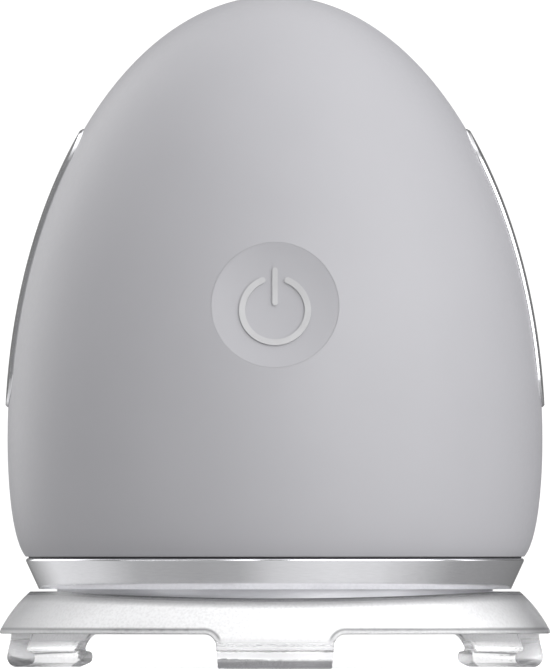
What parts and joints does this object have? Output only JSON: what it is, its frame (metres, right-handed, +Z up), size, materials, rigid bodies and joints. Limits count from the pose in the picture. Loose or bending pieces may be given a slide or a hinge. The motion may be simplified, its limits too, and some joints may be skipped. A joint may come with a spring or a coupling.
{
  "type": "facial massager",
  "caption": "Egg-shaped handheld facial massager with a dished power button, metal side contact plates, a chrome collar, a domed metal probe and a clear clip-on pad ring with claws.",
  "frame": {"origin": "on the floor, under the axis of the egg, where the claws of the pad ring stand", "axes": "+Z up along the egg's axis, -Y towards the power button, +X to the viewer's right in the picture"},
  "size_m": [0.0684, 0.0695, 0.0836],
  "materials": {
    "soft_grey": "soft-touch lacquer",
    "button_grey": "soft-touch lacquer",
    "icon_pale": "translucent, satin",
    "clear_ring": "clear moulding, frosted outside",
    "polished_chrome": "mirror polish",
    "probe_metal": "mirror polish",
    "seal_dark": "matt",
    "board_green": "solder mask",
    "chip_black": "moulded",
    "lamp_white": "clear lens",
    "socket_white": "moulded",
    "screw_steel": "zinc plated",
    "base_black": "moulded",
    "battery_foil": "pouch foil",
    "foam_black": "foam",
    "motor_steel": "plated can",
    "sleeve_rubber": "moulded",
    "weight_metal": "sintered",
    "carrier_white": "moulded",
    "heater_amber": "polyimide film",
    "sensor_black": "bead",
    "contact_brass": "plated",
    "port_steel": "plated",
    "tongue_black": "moulded"
  },
  "bodies": {
    "ring": {"pad_ring": "clear_ring"},
    "housing": {"probe_head": "probe_metal", "chrome_collar": "polished_chrome", "base_seal": "seal_dark", "front_shell": "soft_grey", "rear_shell": "soft_grey", "right_contact_plate": "polished_chrome", "left_contact_plate": "polished_chrome", "contact_leaf_springs": "contact_brass", "switch_body": "chip_black", "main_board": "board_green", "indicator_lamps": "lamp_white", "board_chips": "chip_black", "lead_socket": "socket_white", "board_screws": "screw_steel", "case_screws": "screw_steel", "base_plate": "base_black", "battery_cell": "battery_foil", "battery_tape": "foam_black", "motor_can": "motor_steel", "motor_sleeve": "sleeve_rubber", "probe_carrier": "carrier_white", "heater_film": "heater_amber", "heat_sensor": "sensor_black", "probe_contact_pin": "contact_brass", "port_shell": "port_steel", "port_tongue": "tongue_black", "charge_board": "board_green"},
    "button": {"button_cap": "button_grey", "power_icon": "icon_pale"},
    "plunger": {"switch_plunger": "chip_black"},
    "rotor": {"motor_shaft": "motor_steel", "eccentric_weight": "weight_metal"}
  },
  "joints": [
    {"name": "ring_release", "type": "slide", "parent": "ring", "child": "housing", "axis": [0, 0, 1], "range_m": [0, 0.03]},
    {"name": "button_press", "type": "slide", "parent": "housing", "child": "button", "axis": [0, 0.9826, -0.1858], "range_m": [0, 0.00035], "stiffness_N_per_m": 600},
    {"name": "plunger_press", "type": "slide", "parent": "housing", "child": "plunger", "axis": [0, 0.9826, -0.1858], "range_m": [0, 0.00035]},
    {"name": "motor_spin", "type": "hinge", "parent": "housing", "child": "rotor", "pos_m": [0.006, -0.013, 0.0218], "axis": [1, 0, 0], "continuous": true}
  ],
  "couplings": [
    {"joint": "plunger_press", "follows": "button_press", "ratio": 1}
  ]
}
